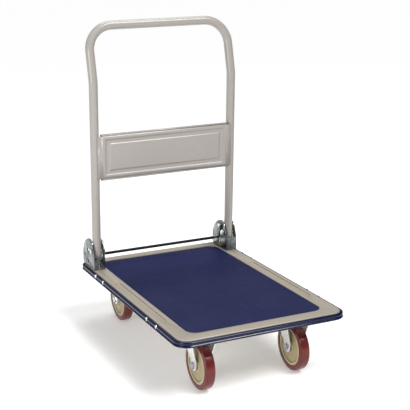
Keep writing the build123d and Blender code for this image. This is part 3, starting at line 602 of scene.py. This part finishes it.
def pressed_panel():
    """Back panel: a pressed frame round a raised field, and rolled upper and lower edges."""
    face_up, mid, roll, groove = 13.9, 281.0, 4.0, 1.8
    half_long, half_high, wing, sheet = 198.0, 64.0, 13.0, 1.1
    bm = bmesh.new()
    bmesh.ops.create_grid(bm, x_segments=1, y_segments=1, size=mm)
    bmesh.ops.scale(bm, verts=bm.verts, vec=(half_long, half_high, 1))
    field = list(bm.faces)
    creases = []
    for thick, depth in ((11.0, 0.0), (3.6, -3.0), (9.0, 0.0), (3.6, 3.0)):
        bmesh.ops.inset_region(bm, faces=field, thickness=thick * mm, depth=depth * mm,
                               use_boundary=True, use_even_offset=True)
        creases.append(list(field[0].edges))
    pressed = list(dict.fromkeys(edge for ring in creases for edge in ring if edge.is_valid))
    corners = [e for e in bm.edges if not e.is_boundary and e not in pressed
               and all(abs(v.co.x) < (half_long - 8) * mm for v in e.verts)]
    bmesh.ops.bevel(bm, geom=pressed + corners, offset=1.5 * mm, offset_type="OFFSET", segments=4,
                    profile=0.5, affect="EDGES", material=-1)
    for s in (-1, 1):
        ends = [e for e in bm.edges if e.is_boundary
                and all(abs(v.co.x - s * half_long * mm) < 1e-6 for v in e.verts)]
        grown = bmesh.ops.extrude_edge_only(bm, edges=ends)["geom"]
        bmesh.ops.translate(bm, verts=[g for g in grown if isinstance(g, bmesh.types.BMVert)],
                            vec=(s * wing * mm, 0, 0))
    for s in (-1, 1):
        for vert in bm.verts:
            if abs(vert.co.y - s * half_high * mm) < 1e-6:
                vert.co.y -= s * groove * mm
        edge_y = s * (half_high - groove) * mm
        rim = [e for e in bm.edges if e.is_boundary
               and all(abs(v.co.y - edge_y) < 1e-6 and abs(v.co.x) < (half_long + 0.1) * mm
                       for v in e.verts)]
        rim_verts = list(dict.fromkeys(v for e in rim for v in e.verts))
        for out, down in ((0.3, -1.6), (groove - 0.6, 0.0), (0.3, 1.6)):
            rim_verts, rim = carry(bm, rim_verts, rim, (0, s * out, down))
        bmesh.ops.spin(bm, geom=rim_verts + rim, cent=(0, s * half_high * mm, -roll * mm), axis=(1, 0, 0),
                       angle=-s * radians(325), steps=18, use_duplicate=False)
    bmesh.ops.translate(bm, verts=bm.verts, vec=(0, mid * mm, face_up * mm))
    bmesh.ops.transform(bm, verts=bm.verts, matrix=handle_frame)
    piece = settle("pressed_back_panel", bm, "back_panel", "back_panel", angle=50, flip=False)
    wall = piece.modifiers.new("sheet", "SOLIDIFY")
    wall.thickness = sheet * mm
    wall.offset = -1.0
    # black plugs in the open ends of the four rolled edges: painted shade, a dark fill standing for the shadow
    # inside the rolls
    shade_plugs = bmesh.new()
    for s in (-1, 1):
        for roll_y in (mid - half_high, mid + half_high):
            revolve(shade_plugs, [(s * (half_long + along), radius) for along, radius in (
                (-6.0, 0.0), (-6.0, 2.6), (0.1, 2.6), (0.2, 3.6), (1.0, 3.5), (1.3, 3.0), (1.3, 0.0))],
                    (0, roll_y, face_up - roll), 20, close=False)
    bmesh.ops.transform(shade_plugs, verts=shade_plugs.verts, matrix=handle_frame)
    settle("roll_end_shade_plugs", shade_plugs, "back_panel", finish=sleeve_black)


pressed_panel()

# ---------------------------------------------------------------- pressed and turned parts softened
for node in ("deck_tray", "hinge_bracket_left", "hinge_bracket_right"):
    softened(node, 0.6)
for side in ("left", "right"):
    for node in (f"rigid_fork_{side}", f"swivel_fork_{side}", f"lock_plate_{side}", f"lock_arm_{side}",
                 f"swivel_plate_{side}", f"swivel_axle_{side}", f"swivel_axle_nut_{side}"):
        softened(node, 0.45, fork_zinc if "fork" in node else None)
softened("foot_sleeve", 1.6)
softened("foot_rod", 0.6)
for node in ("rigid_axles", "rigid_axle_nuts"):
    softened(node, 0.5, ball_steel)
for node in ("bracket_bolts", "bracket_nuts", "caster_bolts", "caster_nuts", "king_bolts",
             "pivot_bolts", "pivot_nuts", "lock_bar_rivets"):
    softened(node, 0.5)

rib_low, rib_knee, leg_out = 79.0, 82.0, 20.6
for side in ("left", "right"):
    hub_front = middle(f"hub_front_{side}")
    hub_rear = middle(f"hub_rear_{side}")
    rigid_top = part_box(f"rigid_fork_{side}")[1][2] / mm
    swivel_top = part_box(f"swivel_fork_{side}")[1][2] / mm
    leg_rib(f"rigid_fork_ribs_{side}", f"rigid_fork_{side}", hub_front.x, hub_front.y, rib_low, rib_knee,
            rigid_top - 12, leg_out, 40)
    leg_rib(f"swivel_fork_ribs_{side}", f"swivel_fork_{side}", hub_rear.x, hub_rear.y - 8, rib_low, rib_knee,
            swivel_top - 13, leg_out, 38)

# ---------------------------------------------------------------- camera, floor and light
def aim(eye, target, roll):
    """Matrix of a camera at eye that looks at target, turned about its own view by roll degrees."""
    forward = (target - eye).normalized()
    right = forward.cross(Vector((0, 0, 1))).normalized()
    up = right.cross(forward)
    turned = right * cos(radians(roll)) + up * sin(radians(roll))
    upright = up * cos(radians(roll)) - right * sin(radians(roll))
    grid = Matrix((turned, upright, -forward)).transposed().to_4x4()
    grid.translation = eye
    return grid


lens = bpy.data.cameras.new("cart_camera")
lens.lens = 92.74
lens.sensor_width = 36.0
camera = bpy.data.objects.new("cart_camera", lens)
scene.collection.objects.link(camera)
camera_eye = Vector((-1182.47, -2528.10, 1136.04)) * mm
camera_target = Vector((7.73, 0.0, 403.89)) * mm
camera_roll = -0.75  # degrees
camera.matrix_world = aim(camera_eye, camera_target, camera_roll)
scene.camera = camera


def flat_square(name, half):
    """A flat square of the studio, this many metres from its centre to a side."""
    bm = bmesh.new()
    bmesh.ops.create_grid(bm, x_segments=1, y_segments=1, size=half)
    mesh = bpy.data.meshes.new(name)
    bm.to_mesh(mesh)
    bm.free()
    square = bpy.data.objects.new(name, mesh)
    scene.collection.objects.link(square)
    return square


floor = flat_square("studio_floor", 45.0)
floor_finish, _, floor_shader = open_finish("studio_floor", specular=0.1)
floor_shader.inputs["Base Color"].default_value = (0.93, 0.93, 0.93, 1)
floor_shader.inputs["Roughness"].default_value = 0.9
floor_shader.inputs["Emission Color"].default_value = (1, 1, 1, 1)
floor_shader.inputs["Emission Strength"].default_value = 0.28
floor.data.materials.append(floor_finish)


# a dark card beside the cart, which only shades and shows in reflections
dark_card = flat_square("dark_card", 1.0)
dark_card.matrix_world = Matrix.Translation((1.25, -0.15, 1.0)) @ Matrix.Rotation(pi / 2, 4, "Y")
dark_card.visible_camera = False
dark_card.visible_shadow = False
card_finish, _, card_shader = open_finish("dark_card", specular=0.0)
card_shader.inputs["Base Color"].default_value = (0.06, 0.06, 0.06, 1)
dark_card.data.materials.append(card_finish)


def lamp(name, place, target, size, power):
    """A soft square studio lamp aimed at a point, in metres and watts."""
    light = bpy.data.lights.new(name, "AREA")
    light.shape = "SQUARE"
    light.size = size
    light.energy = power
    holder = bpy.data.objects.new(name, light)
    scene.collection.objects.link(holder)
    holder.location = place
    away = Vector(place) - Vector(target)
    holder.rotation_euler = away.to_track_quat("Z", "Y").to_euler()


sun = bpy.data.lights.new("broad_key", "SUN")
sun.energy = 2.1
sun.angle = radians(24)
sun_holder = bpy.data.objects.new("broad_key", sun)
scene.collection.objects.link(sun_holder)
sun_holder.rotation_euler = Vector((0.55, -1.0, 1.45)).to_track_quat("Z", "Y").to_euler()
lamp("top_lamp", (0.3, 0.9, 2.6), (0, 0, 0.2), 1.4, 26)
lamp("left_lamp", (-2.6, -1.3, 1.1), (0, 0, 0.4), 1.0, 30)
world = bpy.data.worlds.new("studio_air")
world.use_nodes = True
sky = world.node_tree.nodes["Background"]
sky.inputs["Color"].default_value = (1, 1, 1, 1)
sky.inputs["Strength"].default_value = 0.25
scene.world = world
scene.view_settings.view_transform = "Standard"
